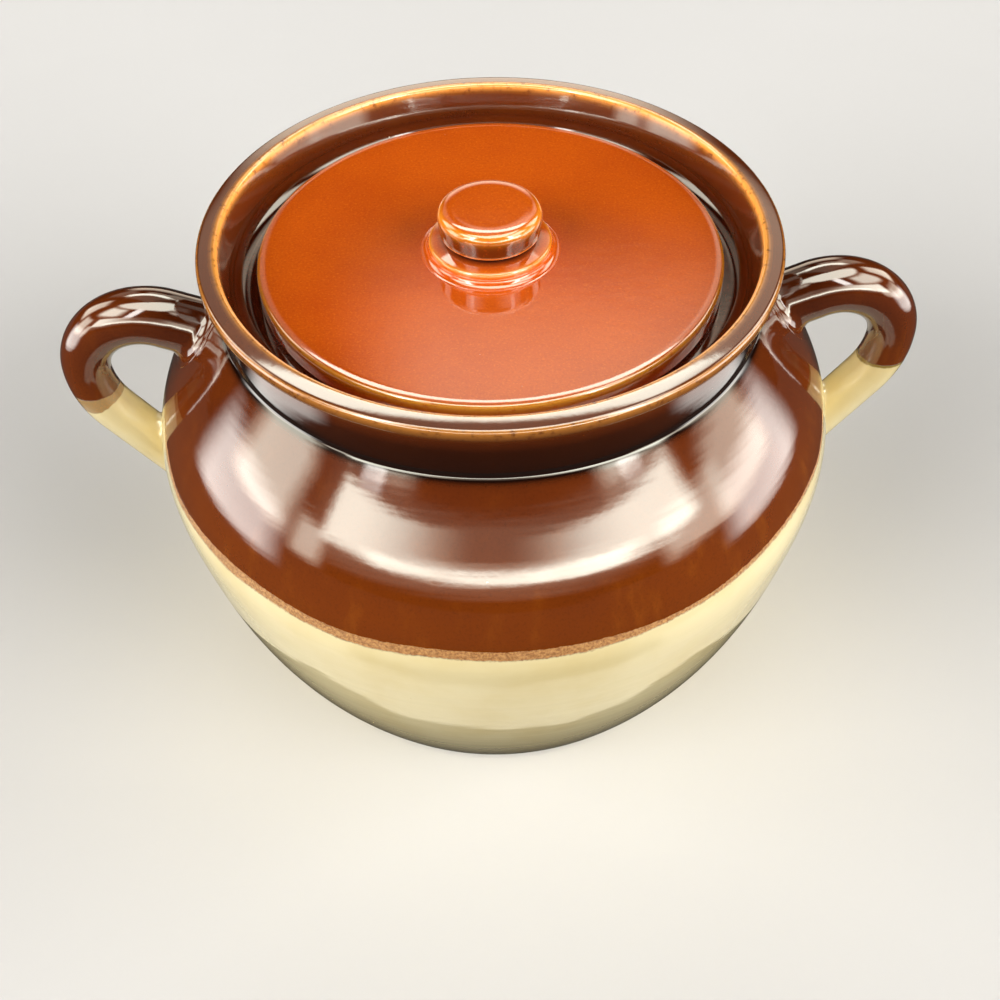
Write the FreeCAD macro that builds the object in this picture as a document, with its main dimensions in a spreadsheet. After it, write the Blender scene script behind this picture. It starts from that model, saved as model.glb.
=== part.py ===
import FreeCAD, Part
import math
import os
import Sketcher
from FreeCAD import Placement, Rotation, Vector

# A stoneware bean pot: a bellied pot with a collared rim, two loop handles luted to its sides
# and a loose lid that lies on a gallery inside the rim.
# The origin is the middle of the foot, on the surface that the pot stands on. +Z is up and the
# handles lie along X. Lengths are millimetres and angles are degrees.
# A radius is measured from the pot's axis and a height from the surface, unless the note says so.

sizes = {
    # Outline of the pot
    "pot_height": 145.8,  # crest of the rim
    "belly_radius": 97.3,  # pole of the outline at the belly
    "belly_drop": 35.9,  # neck down to that pole
    "shoulder_inset": 10.6,  # belly in to the pole at the shoulder
    "shoulder_drop": 15.7,  # neck down to that pole
    "waist_inset": 2.5,  # belly in to the pole under it
    "waist_drop": 55.4,  # neck down to that pole
    "base_inset": 13.5,  # belly in to the pole above the foot
    "base_height": 25.5,  # height of that pole
    "neck_inset": 25.3,  # belly in to the crease of the neck
    "neck_round": 2.4,  # fillet in the crease of the neck
    "foot_inset": 30.8,  # belly in to the foot's corner before it is rounded
    "foot_round": 3.0,  # rounding of that corner
    "foot_ring": 9.0,  # width of the foot ring
    "foot_recess": 2.2,  # hollow under the base inside the foot ring
    # Collar and rim
    "collar_height": 19.0,  # crest of the rim down to the crease of the neck
    "collar_flare": 4.3,  # neck out to the rim's outer edge
    "collar_hollow": 60.0,  # radius of the collar's slightly hollow side
    "rim_band": 2.6,  # upright band under the rim's outer edge
    "rim_top": 5.4,  # rim's outer edge in to its crest
    "rim_fall": 0.7,  # drop of the rim's top from its crest to its outer edge
    "band_round": 2.0,  # rounding under the rim's band
    "edge_round": 1.1,  # rounding of the rim's outer edge
    "crest_round": 1.2,  # rounding of the rim's crest
    # Hollow of the pot
    "wall": 6.5,  # level thickness of the wall at the belly and below
    "shoulder_wall": 8.5,  # level thickness of the wall at the sloping shoulder
    "floor_thickness": 6.0,  # thickness of the floor above the recess
    "floor_inset": 2.0,  # foot's corner in to the floor's corner before it is rounded
    "floor_round": 11.0,  # rounding between the floor and the wall
    "collar_wall": 3.3,  # neck's crease in to the foot of the rim's inner wall
    "gallery_depth": 13.8,  # crest of the rim down to the lid's seat
    "gallery_width": 13.7,  # rim's inner wall in to the throat
    "gallery_thickness": 7.0,  # thickness of the gallery that carries the lid
    "gallery_cove": 5.0,  # radius of the cove between the rim's inner wall and the seat
    "gallery_round": 3.0,  # fillet between the gallery's underside and the shoulder
    "throat_round": 1.6,  # rounding of the gallery's inner edges
    # Handles
    "handle_stand": 16.1,  # belly's pole out to the outermost point of the handle's centreline
    "handle_sink": 5.0,  # crease of the neck down to the top of the centreline
    "handle_top_curve": 17.8,  # radius of the centreline over the top of the loop
    "handle_low_curve": 27.0,  # radius of the centreline below the outermost point
    "handle_rise": 23.0,  # climb of the top arm as it leaves the shoulder, in degrees
    "handle_turn": 36.0,  # turn of the centreline below the outermost point, in degrees
    "top_arm_run": 20.0,  # straight centreline of the top arm, which ends inside the wall
    "low_arm_run": 59.0,  # straight centreline of the lower arm, which ends inside the wall
    "top_arm_width": 16.4,  # thickness of the top arm
    "bend_width": 13.2,  # thickness at the outermost point
    "low_arm_width": 13.0,  # thickness of the lower arm
    "root_fillet": 3.6,  # fillet round each root, where the handle is luted to the pot
    "root_seat": 0.05,  # depth under the pot's outside at which that fillet runs out
    # Lid
    "lid_gap": 7.3,  # gap between the lid's edge and the foot of the rim's inner wall
    "lid_thickness": 7.1,  # thickness of the lid's plate
    "lid_top_round": 2.0,  # rounding of the lid's upper edge
    "lid_low_round": 1.8,  # rounding of the lid's lower edge
    "flange_gap": 1.2,  # gap between the locating flange and the throat
    "flange_depth": 4.5,  # depth of the locating flange under the lid
    "flange_width": 5.0,  # width of the locating flange
    "flange_round": 1.4,  # rounding of the flange's lower edges
    # Knob
    "knob_radius": 13.9,  # upper edge of the knob's head
    "knob_taper": 0.8,  # that edge in to the lower edge of the head
    "knob_undercut": 2.9,  # upper edge of the head in to the neck
    "knob_foot_flare": 2.3,  # upper edge of the head out to the foot
    "knob_flare": 2.2,  # fillet from the knob's foot to the lid
    "knob_foot_side": 1.0,  # upright side of the foot above that fillet
    "knob_foot_slope": 1.5,  # rise of the foot's sloping top
    "knob_neck_length": 0.8,  # height of the neck
    "knob_head_length": 7.3,  # height of the head's side
    "knob_crown": 0.4,  # rise of the knob's top from its edge to its middle
    "knob_foot_round": 0.9,  # rounding of the foot's upper edge
    "knob_under_round": 0.6,  # rounding of the head's lower edge
    "knob_head_round": 3.2,  # rounding of the head's upper edge
}

document = FreeCAD.newDocument("bean_pot")
sheet = document.addObject("Spreadsheet::Sheet", "Sizes")
for row, (name, value) in enumerate(sizes.items(), start=1):
    sheet.set(f"A{row}", name)
    sheet.set(f"B{row}", str(value))
    sheet.setAlias(f"B{row}", name)
document.recompute()

# How near an edge lies to the circle, or to both surfaces, that it is picked by.
matchTolerance = 0.01
skinTolerance = 0.005

# Radii and heights that several pieces share.
neckRadius = "(Sizes.belly_radius - Sizes.neck_inset)"
shoulderRadius = "(Sizes.belly_radius - Sizes.shoulder_inset)"
footRadius = "(Sizes.belly_radius - Sizes.foot_inset)"
galleryRadius = "(Sizes.belly_radius - Sizes.neck_inset - Sizes.collar_wall)"
throatRadius = f"({galleryRadius} - Sizes.gallery_width)"
neckHeight = "(Sizes.pot_height - Sizes.collar_height)"
shoulderHeight = f"({neckHeight} - Sizes.shoulder_drop)"
seatHeight = "(Sizes.pot_height - Sizes.gallery_depth)"
lidTop = f"({seatHeight} + Sizes.lid_thickness)"


def number(expression):
    """The value of an expression over the sheet."""
    return float(sheet.evalExpression(expression))


def bodyNamed(name):
    return document.addObject("PartDesign::Body", name)


def sketchOn(body, role, name):
    """A sketch on one of the body's own origin planes."""
    sketch = body.newObject("Sketcher::SketchObject", name)
    plane = [item for item in body.Origin.OriginFeatures if item.Role == role][0]
    sketch.AttachmentSupport = [(plane, "")]
    sketch.MapMode = "FlatFace"
    return sketch


def pin(sketch, geometry, point, across, up):
    """Holds a point of the sketch at two expressions over the sheet."""
    for kind, axis, expression in (("DistanceX", -2, across), ("DistanceY", -1, up)):
        if expression == "0":
            sketch.addConstraint(Sketcher.Constraint("PointOnObject", geometry, point, axis))
            continue
        value = number(expression)
        index = sketch.addConstraint(Sketcher.Constraint(kind, -1, 1, geometry, point, value))
        sketch.setExpression(f"Constraints[{index}]", expression)


def addLine(sketch, start, end):
    index = sketch.addGeometry(Part.LineSegment(start, end), False)
    return index, 1, 2


def addArc(sketch, start, end, radius, bow):
    """An arc from start to end. It bows to the left of the way there, or with bow = -1 right."""
    value = number(radius)
    chord = end - start
    side = Vector(-chord.y, chord.x, 0).normalize()
    sink = math.sqrt(value ** 2 - (chord.Length / 2) ** 2)
    centre = start + chord * 0.5 - side * (bow * sink)
    first, last = (end, start) if bow > 0 else (start, end)
    angles = [math.atan2(spot.y - centre.y, spot.x - centre.x) for spot in (first, last)]
    if angles[1] < angles[0]:
        angles[1] += 2 * math.pi
    circle = Part.Circle(centre, Vector(0, 0, 1), value)
    index = sketch.addGeometry(Part.ArcOfCircle(circle, angles[0], angles[1]), False)
    constraint = sketch.addConstraint(Sketcher.Constraint("Radius", index, value))
    sketch.setExpression(f"Constraints[{constraint}]", radius)
    return (index, 2, 1) if bow > 0 else (index, 1, 2)


def addCurve(sketch, start, end, poles):
    """A smooth curve from start to end, drawn by the poles between them."""
    spots = [start] + [Vector(number(across), number(up), 0) for across, up in poles] + [end]
    degree = 3
    spans = len(spots) - degree
    curve = Part.BSplineCurve()
    ends = [degree + 1] + [1] * (spans - 1) + [degree + 1]
    knots = [float(knot) for knot in range(spans + 1)]
    curve.buildFromPolesMultsKnots(spots, ends, knots, False, degree)
    index = sketch.addGeometry(curve, False)
    sketch.exposeInternalGeometry(index)
    for place, (across, up) in enumerate(poles):
        pin(sketch, index + 2 + place, 3, across, up)
    return index, 1, 2


def drawRing(sketch, corners):
    """A closed outline. Each corner is (across, up, edge): edge leads on to the next corner and
    is None for a line, (radius, bow) for an arc or a list of poles for a curve."""
    spots = [Vector(number(across), number(up), 0) for across, up, edge in corners]
    edges = []
    for start, end, (across, up, edge) in zip(spots, spots[1:] + spots[:1], corners):
        if edge is None:
            edges.append(addLine(sketch, start, end))
        elif isinstance(edge, list):
            edges.append(addCurve(sketch, start, end, edge))
        else:
            edges.append(addArc(sketch, start, end, edge[0], edge[1]))
    for (last, first), (across, up, edge) in zip(zip(edges[-1:] + edges[:-1], edges), corners):
        sketch.addConstraint(
            Sketcher.Constraint("Coincident", last[0], last[2], first[0], first[1])
        )
        pin(sketch, first[0], first[1], across, up)
    document.recompute()


def turned(body, kind, name, corners):
    """A revolved or cut ring of the body. The outline lies in its YZ plane, so that the seam of
    the turned faces is clear of the handles."""
    sketch = sketchOn(body, "YZ_Plane", name + "_section")
    drawRing(sketch, corners)
    feature = body.newObject("PartDesign::" + kind, name)
    feature.Profile = sketch
    feature.ReferenceAxis = (sketch, ["V_Axis"])
    feature.Angle = 360
    sketch.Visibility = False
    document.recompute()
    return feature


def rounded(body, name, size, circles):
    """A fillet on the circles of the body that are given as (radius, height)."""
    wanted = [(number(radius), number(height)) for radius, height in circles]
    base = body.Tip
    edges = []
    for index, edge in enumerate(base.Shape.Edges, start=1):
        if not isinstance(edge.Curve, Part.Circle):
            continue
        for radius, height in wanted:
            offRadius = abs(edge.Curve.Radius - radius)
            offHeight = abs(edge.Curve.Center.z - height)
            if max(offRadius, offHeight) < matchTolerance:
                edges.append(f"Edge{index}")
    if len(edges) < len(wanted):
        raise RuntimeError(f"{name}: found {len(edges)} of {len(wanted)} edges")
    fillet = body.newObject("PartDesign::Fillet", name)
    fillet.Base = (base, edges)
    fillet.setExpression("Radius", size)
    document.recompute()
    return fillet


def bellyPoles(inset, shoulderInset):
    """The poles of the pot's outline from its foot to its neck, moved in by the insets."""
    return [
        (f"(Sizes.belly_radius - Sizes.base_inset - {inset})", "Sizes.base_height"),
        (f"(Sizes.belly_radius - Sizes.waist_inset - {inset})", f"({neckHeight} - Sizes.waist_drop)"),
        (f"(Sizes.belly_radius - {inset})", f"({neckHeight} - Sizes.belly_drop)"),
        (f"({shoulderRadius} - {shoulderInset})", shoulderHeight),
    ]


def addOuterForm(body, prefix):
    """The pot's outside as a solid: foot, belly, shoulder, neck and collared rim."""
    rimRadius = f"({neckRadius} + Sizes.collar_flare)"
    edgeHeight = "(Sizes.pot_height - Sizes.rim_fall)"
    bandHeight = f"({edgeHeight} - Sizes.rim_band)"
    turned(body, "Revolution", prefix + "_outside", [
        ("0", "0", None),
        (footRadius, "0", bellyPoles("0", "0")),
        (neckRadius, neckHeight, ("Sizes.collar_hollow", 1)),
        (rimRadius, bandHeight, None),
        (rimRadius, edgeHeight, None),
        (f"({rimRadius} - Sizes.rim_top)", "Sizes.pot_height", None),
        ("0", "Sizes.pot_height", None),
    ])
    rounded(body, prefix + "_foot", "Sizes.foot_round", [(footRadius, "0")])
    rounded(body, prefix + "_neck", "Sizes.neck_round", [(neckRadius, neckHeight)])
    rounded(body, prefix + "_band", "Sizes.band_round", [(rimRadius, bandHeight)])
    rounded(body, prefix + "_edge", "Sizes.edge_round", [(rimRadius, edgeHeight)])


def makeCore():
    """The belly a hair inside the pot's outside, with the shoulder carried on into the collar.
    The handles' roots are blended into it."""
    body = bodyNamed("pot_core")
    foot = f"({footRadius} - Sizes.root_seat)"
    neck = f"({neckRadius} - Sizes.root_seat)"
    onwardRadius = f"({neck} - ({shoulderRadius} - {neckRadius}) / 2)"
    onwardHeight = f"({neckHeight} + Sizes.shoulder_drop / 2)"
    turned(body, "Revolution", "core", [
        ("0", "Sizes.root_seat", None),
        (foot, "Sizes.root_seat", bellyPoles("Sizes.root_seat", "Sizes.root_seat")),
        (neck, neckHeight, None),
        (onwardRadius, onwardHeight, None),
        ("0", onwardHeight, None),
    ])
    rounded(body, "core_foot", "Sizes.foot_round", [(foot, "Sizes.root_seat")])
    return body


def makePot():
    """The pot: its outside, the recess in its foot, and the hollow with the lid's gallery."""
    body = bodyNamed("pot_body")
    addOuterForm(body, "pot")
    footInside = f"({footRadius} - Sizes.foot_ring)"
    turned(body, "Groove", "pot_recess", [
        ("0", "0", None),
        (footInside, "0", None),
        (f"({footInside} - Sizes.foot_recess)", "Sizes.foot_recess", None),
        ("0", "Sizes.foot_recess", None),
    ])
    floorRadius = f"({footRadius} - Sizes.floor_inset)"
    floorHeight = "(Sizes.foot_recess + Sizes.floor_thickness)"
    shoulderInside = f"({neckRadius} - Sizes.wall)"
    galleryUnder = f"({seatHeight} - Sizes.gallery_thickness)"
    crestRadius = f"({neckRadius} + Sizes.collar_flare - Sizes.rim_top)"
    turned(body, "Groove", "pot_hollow", [
        ("0", floorHeight, None),
        (floorRadius, floorHeight, bellyPoles("Sizes.wall", "Sizes.shoulder_wall")),
        (shoulderInside, galleryUnder, None),
        (throatRadius, galleryUnder, None),
        (throatRadius, seatHeight, None),
        (f"({galleryRadius} - Sizes.gallery_cove)", seatHeight, ("Sizes.gallery_cove", -1)),
        (galleryRadius, f"({seatHeight} + Sizes.gallery_cove)", None),
        (crestRadius, "Sizes.pot_height", None),
        ("0", "Sizes.pot_height", None),
    ])
    rounded(body, "pot_floor", "Sizes.floor_round", [(floorRadius, floorHeight)])
    rounded(body, "pot_gallery", "Sizes.gallery_round", [(shoulderInside, galleryUnder)])
    rounded(body, "pot_throat", "Sizes.throat_round", [
        (throatRadius, galleryUnder),
        (throatRadius, seatHeight),
    ])
    rounded(body, "pot_crest", "Sizes.crest_round", [(crestRadius, "Sizes.pot_height")])
    return body


def makeLoop(name, turn):
    """A handle's loop: a round bar that tapers along its centreline, from a thick top arm round
    the bend to a thinner lower arm."""
    body = bodyNamed(name)
    rise = "(Sizes.handle_rise * 1 deg)"
    bend = "(Sizes.handle_turn * 1 deg)"
    reach = "(Sizes.belly_radius + Sizes.handle_stand)"
    height = f"({neckHeight} - Sizes.handle_sink - Sizes.handle_top_curve)"
    topCentre = f"({reach} - Sizes.handle_top_curve)"
    lowCentre = f"({reach} - Sizes.handle_low_curve)"
    topX = f"({topCentre} - Sizes.handle_top_curve * sin({rise}))"
    topZ = f"({height} + Sizes.handle_top_curve * cos({rise}))"
    lowX = f"({lowCentre} + Sizes.handle_low_curve * cos({bend}))"
    lowZ = f"({height} - Sizes.handle_low_curve * sin({bend}))"
    startX = f"({topX} - Sizes.top_arm_run * cos({rise}))"
    startZ = f"({topZ} - Sizes.top_arm_run * sin({rise}))"
    endX = f"({lowX} - Sizes.low_arm_run * sin({bend}))"
    endZ = f"({lowZ} - Sizes.low_arm_run * cos({bend}))"

    path = sketchOn(body, "XZ_Plane", name + "_centreline")

    def spot(across, up):
        return Vector(number(across), number(up), 0)

    def addBend(centreX, radius, fromAngle, toAngle):
        centre = spot(centreX, height)
        circle = Part.Circle(centre, Vector(0, 0, 1), number(radius))
        arc = Part.ArcOfCircle(circle, math.radians(fromAngle), math.radians(toAngle))
        index = path.addGeometry(arc, False)
        pin(path, index, 3, centreX, height)
        return index

    topArm = addLine(path, spot(startX, startZ), spot(topX, topZ))[0]
    pin(path, topArm, 1, startX, startZ)
    pin(path, topArm, 2, topX, topZ)
    over = addBend(topCentre, "Sizes.handle_top_curve", 0, 90 + number("Sizes.handle_rise"))
    path.addConstraint(Sketcher.Constraint("Coincident", over, 2, topArm, 2))
    path.addConstraint(Sketcher.Constraint("Horizontal", over, 1, over, 3))
    under = addBend(lowCentre, "Sizes.handle_low_curve", -number("Sizes.handle_turn"), 0)
    path.addConstraint(Sketcher.Constraint("Coincident", under, 2, over, 1))
    lowArm = addLine(path, spot(lowX, lowZ), spot(endX, endZ))[0]
    path.addConstraint(Sketcher.Constraint("Tangent", under, 1, lowArm, 1))
    pin(path, lowArm, 2, endX, endZ)
    document.recompute()

    topLean = "90 - Sizes.handle_rise"
    lowLean = "180 + Sizes.handle_turn"
    stations = [
        ("top_end", startX, startZ, topLean, "Sizes.top_arm_width"),
        ("top_arm", topX, topZ, topLean, "Sizes.top_arm_width"),
        ("bend", reach, height, "180", "Sizes.bend_width"),
        ("low_arm", lowX, lowZ, lowLean, "Sizes.low_arm_width"),
        ("low_end", endX, endZ, lowLean, "Sizes.low_arm_width"),
    ]
    sections = []
    for station, across, up, lean, width in stations:
        section = sketchOn(body, "XY_Plane", f"{name}_{station}")
        section.AttachmentOffset = Placement(Vector(1, 0, 1), Rotation(Vector(0, 1, 0), 10))
        section.setExpression(".AttachmentOffset.Base.x", across)
        section.setExpression(".AttachmentOffset.Base.z", up)
        section.setExpression(".AttachmentOffset.Rotation.Angle", lean)
        circle = Part.Circle(Vector(0, 0, 0), Vector(0, 0, 1), number(width) / 2)
        index = section.addGeometry(circle, False)
        section.addConstraint(Sketcher.Constraint("Coincident", index, 3, -1, 1))
        size = section.addConstraint(Sketcher.Constraint("Diameter", index, number(width)))
        section.setExpression(f"Constraints[{size}]", width)
        sections.append(section)
    document.recompute()

    pipe = body.newObject("PartDesign::AdditivePipe", name + "_bar")
    pipe.Profile = sections[0]
    pipe.Spine = (path, [f"Edge{index}" for index in range(1, 5)])
    pipe.Mode = "Standard"
    pipe.Transformation = "Multisection"
    pipe.Sections = [(section, "") for section in sections[1:]]
    body.Placement = Placement(Vector(0, 0, 0), Rotation(Vector(0, 0, 1), turn))
    document.recompute()
    return body


def makeHandle(name, turn, core, form):
    """A handle: its loop with a fillet round each root, cut off at the pot's outside."""
    loop = makeLoop(name + "_loop", turn)
    joined = document.addObject("Part::Fuse", name + "_joined")
    joined.Base = core
    joined.Tool = loop
    document.recompute()

    outsides = [Part.Shell(shape.Faces) for shape in (core.Shape, loop.Shape)]
    roots = []
    for index, edge in enumerate(joined.Shape.Edges, start=1):
        span = edge.LastParameter - edge.FirstParameter
        spots = [edge.valueAt(edge.FirstParameter + span * share) for share in (0.25, 0.5, 0.75)]
        gaps = [skin.distToShape(Part.Vertex(spot))[0] for skin in outsides for spot in spots]
        if max(gaps) < skinTolerance:
            roots.append((index, number("Sizes.root_fillet"), number("Sizes.root_fillet")))
    blended = document.addObject("Part::Fillet", name + "_blended")
    blended.Base = joined
    blended.Edges = roots
    document.recompute()

    handle = document.addObject("Part::Cut", name)
    handle.Base = blended
    handle.Tool = form
    document.recompute()
    return handle


def makeLid():
    """The lid: a round plate with a flange under it that keeps it in the middle of the throat."""
    body = bodyNamed("lid_plate")
    lidRadius = f"({galleryRadius} - Sizes.lid_gap)"
    flangeOutside = f"({throatRadius} - Sizes.flange_gap)"
    flangeInside = f"({flangeOutside} - Sizes.flange_width)"
    flangeUnder = f"({seatHeight} - Sizes.flange_depth)"
    turned(body, "Revolution", "lid", [
        ("0", seatHeight, None),
        (flangeInside, seatHeight, None),
        (flangeInside, flangeUnder, None),
        (flangeOutside, flangeUnder, None),
        (flangeOutside, seatHeight, None),
        (lidRadius, seatHeight, None),
        (lidRadius, lidTop, None),
        ("0", lidTop, None),
    ])
    rounded(body, "lid_top_edge", "Sizes.lid_top_round", [(lidRadius, lidTop)])
    rounded(body, "lid_low_edge", "Sizes.lid_low_round", [(lidRadius, seatHeight)])
    rounded(body, "lid_flange_edges", "Sizes.flange_round", [
        (flangeInside, flangeUnder),
        (flangeOutside, flangeUnder),
    ])
    return body


def makeKnob():
    """The knob: a flared foot on the lid, a narrow neck and a flat head with rounded edges."""
    body = bodyNamed("lid_knob")
    footRadius = "(Sizes.knob_radius + Sizes.knob_foot_flare)"
    neckRadius = "(Sizes.knob_radius - Sizes.knob_undercut)"
    underRadius = "(Sizes.knob_radius - Sizes.knob_taper)"
    flareTop = f"({lidTop} + Sizes.knob_flare)"
    footTop = f"({flareTop} + Sizes.knob_foot_side)"
    neckFoot = f"({footTop} + Sizes.knob_foot_slope)"
    headUnder = f"({neckFoot} + Sizes.knob_neck_length)"
    headTop = f"({headUnder} + Sizes.knob_head_length)"
    turned(body, "Revolution", "knob", [
        ("0", lidTop, None),
        (f"({footRadius} + Sizes.knob_flare)", lidTop, ("Sizes.knob_flare", -1)),
        (footRadius, flareTop, None),
        (footRadius, footTop, None),
        (neckRadius, neckFoot, None),
        (neckRadius, headUnder, None),
        (underRadius, headUnder, None),
        ("Sizes.knob_radius", headTop, None),
        ("0", f"({headTop} + Sizes.knob_crown)", None),
    ])
    rounded(body, "knob_foot_edge", "Sizes.knob_foot_round", [(footRadius, footTop)])
    rounded(body, "knob_under_edge", "Sizes.knob_under_round", [(underRadius, headUnder)])
    rounded(body, "knob_head_edge", "Sizes.knob_head_round", [("Sizes.knob_radius", headTop)])
    return body


potForm = bodyNamed("pot_form")
addOuterForm(potForm, "form")
potCore = makeCore()
pieces = {
    "pot_body": makePot(),
    "handle_right": makeHandle("handle_right", 0, potCore, potForm),
    "handle_left": makeHandle("handle_left", 180, potCore, potForm),
    "lid_plate": makeLid(),
    "lid_knob": makeKnob(),
}
document.recompute()

for item in document.Objects:
    if "Invalid" in item.State or "Error" in item.State:
        raise RuntimeError(f"{item.Label} did not build: {item.State}")
for label, piece in pieces.items():
    piece.Label = label
    if piece.Shape.isNull() or not piece.Shape.isValid() or len(piece.Shape.Solids) != 1:
        raise RuntimeError(f"{label} is not one valid solid")

os.makedirs("parts", exist_ok=True)
for label, piece in pieces.items():
    piece.Shape.exportStep(f"parts/{label}.step")
    box = piece.Shape.BoundBox
    print(f"{label}: {piece.Shape.Volume:.0f} mm3, z {box.ZMin:.2f} to {box.ZMax:.2f}")
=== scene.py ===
import math

import bmesh
import bpy
import numpy as np
from mathutils import Euler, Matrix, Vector


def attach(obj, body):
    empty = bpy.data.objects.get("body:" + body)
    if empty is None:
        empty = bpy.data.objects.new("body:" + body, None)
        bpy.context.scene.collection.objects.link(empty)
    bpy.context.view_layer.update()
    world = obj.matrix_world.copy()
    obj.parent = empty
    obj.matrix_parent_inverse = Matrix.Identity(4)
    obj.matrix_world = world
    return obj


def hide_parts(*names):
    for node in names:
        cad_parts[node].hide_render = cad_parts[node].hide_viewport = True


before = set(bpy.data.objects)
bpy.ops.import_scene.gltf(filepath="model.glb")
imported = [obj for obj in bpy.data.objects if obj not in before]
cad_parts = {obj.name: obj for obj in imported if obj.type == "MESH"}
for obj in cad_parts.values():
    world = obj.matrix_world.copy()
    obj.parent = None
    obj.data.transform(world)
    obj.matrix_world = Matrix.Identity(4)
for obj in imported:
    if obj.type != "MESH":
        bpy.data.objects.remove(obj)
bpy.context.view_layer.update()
print("frame loaded:", ", ".join(sorted(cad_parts)))

mm = 0.001
arcPoints = 60  # points of a corner's rounding while it is worked out
arcStep = 8  # degrees between the points that are kept of it

# An outline is a row of corners in millimetres: radius, height, and what the corner has.
#   round  radius of the corner's rounding
#   thin   how far the glaze breaks thin there, and over what distance
#   pool  how far the glaze pools there, darkened further as painted shade, and over what distance
#   poles  the next edge is a smooth curve drawn by these poles
#   bow    the next edge is an arc of this radius, hollow where it is positive


def corner(radius, height, **has):
    return {"at": np.array([radius, height], float), **has}


def poleCurve(poles, count=500):
    # a cubic B-spline that starts at the first pole and ends at the last one
    degree = 3
    poles = np.array(poles, float)
    spans = len(poles) - degree
    knots = np.concatenate([[0.0] * degree, np.arange(spans + 1), [spans] * degree])
    places = np.linspace(0, spans - 1e-9, count)
    basis = [(knots[i] <= places) & (places < knots[i + 1]) for i in range(len(knots) - 1)]
    for step in range(1, degree + 1):
        higher = []
        for i in range(len(basis) - 1):
            rise, fall = knots[i + step] - knots[i], knots[i + step + 1] - knots[i + 1]
            up = (places - knots[i]) / rise * basis[i] if rise else 0 * places
            down = (knots[i + step + 1] - places) / fall * basis[i + 1] if fall else 0 * places
            higher.append(up + down)
        basis = higher
    return np.stack(basis, 1) @ poles


def arcBetween(start, end, radius, count=160):
    # the arc of the given radius, which bulges to the left of its way where that is positive
    chord = end - start
    side = np.array([-chord[1], chord[0]]) / np.linalg.norm(chord)
    sink = math.sqrt(radius ** 2 - (np.linalg.norm(chord) / 2) ** 2)
    centre = (start + end) / 2 - side * math.copysign(sink, radius)
    return arcRound(centre, start, end, count)


def arcRound(centre, start, end, count):
    # the shorter arc from start to end
    first = math.atan2(*(start - centre)[::-1])
    turn = (math.atan2(*(end - centre)[::-1]) - first + math.pi) % (2 * math.pi) - math.pi
    angles = first + turn * np.linspace(0, 1, count)
    reach = np.linalg.norm(start - centre)
    return centre + reach * np.stack([np.cos(angles), np.sin(angles)], 1)


def lengths(line):
    # how far along the line each of its points is
    return np.concatenate([[0], np.cumsum(np.linalg.norm(np.diff(line, axis=0), axis=1))])


def nearest(line, point):
    # the nearest point of a line of points: how far it is, how far along, and where
    step = np.diff(line, axis=0)
    share = np.einsum("ij,ij->i", point - line[:-1], step) / np.maximum((step ** 2).sum(1), 1e-12)
    share = np.clip(share, 0, 1)
    spots = line[:-1] + step * share[:, None]
    gaps = np.linalg.norm(spots - point, axis=1)
    i = int(np.argmin(gaps))
    return gaps[i], i, share[i], spots[i]


def roundCorner(before, after, radius):
    # cuts both lines back to the circle that touches them, and gives the arc between
    back = before[::-1]
    along = lengths(back)
    into, out = before[-1] - before[-2], after[1] - after[0]
    side = math.copysign(1, into[0] * out[1] - into[1] * out[0])

    def touch(gone):
        i = min(int(np.searchsorted(along, gone, "right")) - 1, len(back) - 2)
        way = back[i] - back[i + 1]
        way = way / np.linalg.norm(way)
        spot = back[i] - way * (gone - along[i])
        return spot, spot + radius * side * np.array([-way[1], way[0]]), i

    low, high = 0.0, along[-1] - 1e-6
    for _ in range(40):  # halvings
        middle = (low + high) / 2
        if nearest(after, touch(middle)[1])[0] < radius:
            low = middle
        else:
            high = middle
    spot, centre, i = touch(high)
    _, j, _, landing = nearest(after, centre)
    arc = arcRound(centre, spot, landing, arcPoints)
    kept = np.vstack([back[i + 1:][::-1], spot])
    return kept, arc, np.vstack([landing, after[j + 1:]])


def graded(line, fine, coarse, growth=0.3):
    # points along a line: close together at its ends and wider apart in its middle
    along = lengths(line)
    total = along[-1]
    places = [0.0]
    while places[-1] < total:
        near = min(places[-1], total - places[-1])
        places.append(places[-1] + fine + min(near * growth, coarse - fine))
    places = np.array(places) * total / places[-1]
    return np.stack([np.interp(places, along, line[:, k]) for k in (0, 1)], 1)


def outline(corners, fine=0.35, coarse=1.9):
    # the outline's points, how thin the glaze is at each, and how far it pools there and is painted
    # darker as shade
    edges = []
    for here, there in zip(corners, corners[1:]):
        if "poles" in here:
            edges.append(poleCurve([here["at"], *here["poles"], there["at"]]))
        elif "bow" in here:
            edges.append(arcBetween(here["at"], there["at"], here["bow"]))
        else:
            edges.append(np.stack([here["at"], there["at"]]))
    arcs = [None] * len(corners)
    for i in range(1, len(corners) - 1):
        if corners[i].get("round"):
            radius = corners[i]["round"]
            edges[i - 1], arcs[i], edges[i] = roundCorner(edges[i - 1], edges[i], radius)
    points = [edges[0][:1]]
    spots = {}
    for i, edge in enumerate(edges):
        if arcs[i] is not None:
            sweep = lengths(arcs[i])[-1] / corners[i]["round"]
            count = max(4, int(math.degrees(sweep) / arcStep))
            spots[i] = sum(map(len, points)) + count // 2
            kept = np.linspace(0, arcPoints - 1, count + 1).astype(int)
            points.append(arcs[i][kept][1:])
        elif i:
            spots[i] = sum(map(len, points)) - 1
        points.append(graded(edge, fine, coarse)[1:])
    points = np.vstack(points)
    along = lengths(points)
    marks = {}
    for kind in ("thin", "pool"):
        marks[kind] = np.zeros(len(points))
        for i, place in spots.items():
            if kind in corners[i]:
                strength, before, after = corners[i][kind]
                away = along - along[place]
                marks[kind] += strength * np.exp(-(away / np.where(away < 0, before, after)) ** 2)
    return points, marks


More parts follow.
